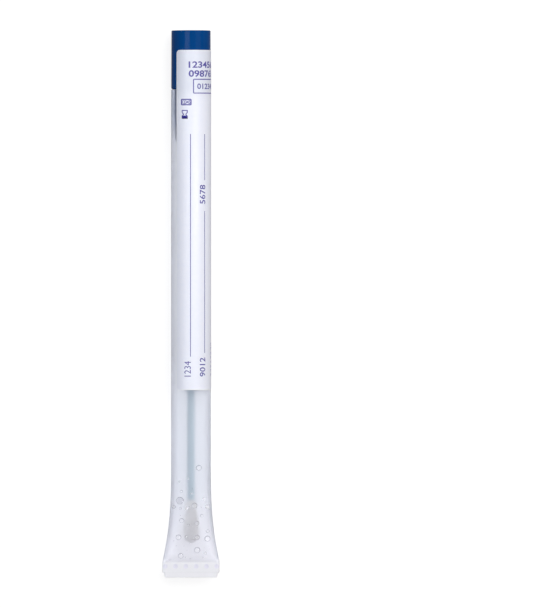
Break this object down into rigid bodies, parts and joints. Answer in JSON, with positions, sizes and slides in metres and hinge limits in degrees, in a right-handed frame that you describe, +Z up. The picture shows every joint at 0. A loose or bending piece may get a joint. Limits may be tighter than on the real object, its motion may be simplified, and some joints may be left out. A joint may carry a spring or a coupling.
{
  "type": "specimen swab tube",
  "caption": "Capped plastic tube, flared and welded flat at one end, holding a fibre-tipped swab on a stick that pulls out with the plug cap; wrap-round label.",
  "frame": {"origin": "on the surface the tube lies on, under the middle of its whole length and midway across its weld", "axes": "+Y along the tube towards the cap, X across it along the flat weld, +Z up"},
  "size_m": [0.0174, 0.1668, 0.0123],
  "materials": {
    "tube": "frosted translucent polypropylene",
    "label": "satin white film with violet print",
    "cap": "satin blue moulded plastic",
    "shaft": "smooth pale teal plastic",
    "bud": "wound white fibre"
  },
  "bodies": {
    "tube": {"tube": "tube", "label": "label"},
    "swab": {"cap": "cap", "shaft": "shaft", "bud": "bud", "label_seal_strip": "label"}
  },
  "joints": [
    {"name": "cap_pull", "type": "slide", "parent": "tube", "child": "swab", "axis": [0, 1, 0], "range_m": [0, 0.145]}
  ]
}
